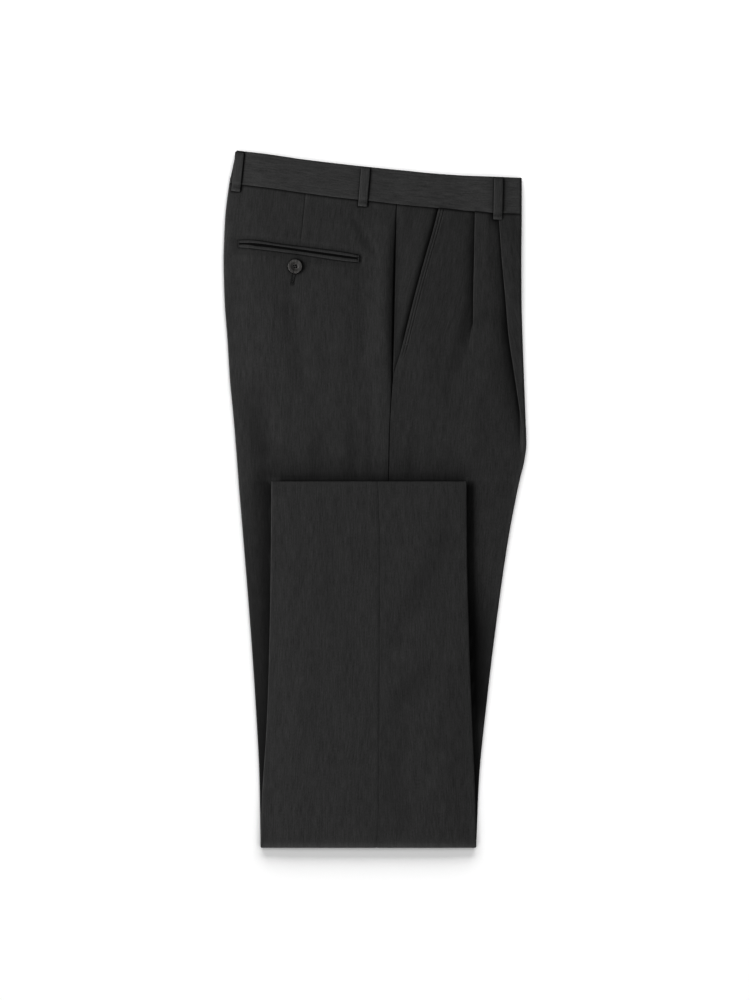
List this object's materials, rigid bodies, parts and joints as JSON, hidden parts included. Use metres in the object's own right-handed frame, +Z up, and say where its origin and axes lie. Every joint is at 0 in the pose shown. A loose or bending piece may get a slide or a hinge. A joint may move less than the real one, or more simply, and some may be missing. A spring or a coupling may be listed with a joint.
{
  "type": "folded pleated dress trousers",
  "caption": "Pleated dress trousers folded flat on their creases, lower legs turned up over the thighs, to lie on a shelf or table.",
  "frame": {"origin": "bottom centre of the bounding box, on the surface that the trousers lie on", "axes": "+X from the back creases to the front creases, +Y from the knee fold to the waist, +Z up through the layers"},
  "size_m": [0.3325, 0.7663, 0.0133],
  "materials": {
    "right_back_cloth": "charcoal worsted, matt",
    "right_front_cloth": "charcoal worsted, matt",
    "facing_cloth": "charcoal worsted, matt",
    "left_back_cloth": "charcoal worsted, matt",
    "left_front_cloth": "charcoal worsted, matt",
    "inner_cloth": "charcoal worsted, matt",
    "waistband_cloth": "charcoal worsted over interfacing",
    "loop_cloth": "charcoal worsted, folded strip",
    "welt_cloth": "charcoal worsted, pressed welt",
    "button_horn": "polished, dished, four holes"
  },
  "bodies": {
    "root": {"right_back_panel": "right_back_cloth", "right_front_panel": "right_front_cloth", "right_pocket_facing": "facing_cloth", "left_back_panel": "left_back_cloth", "left_front_panel": "left_front_cloth", "hidden_layers": "inner_cloth", "waistband_right": "waistband_cloth", "waistband_left": "waistband_cloth", "belt_loop_back": "loop_cloth", "belt_loop_side": "loop_cloth", "belt_loop_front": "loop_cloth", "back_pocket_welt_upper": "welt_cloth", "back_pocket_welt_lower": "welt_cloth", "back_pocket_button": "button_horn"}
  },
  "joints": []
}
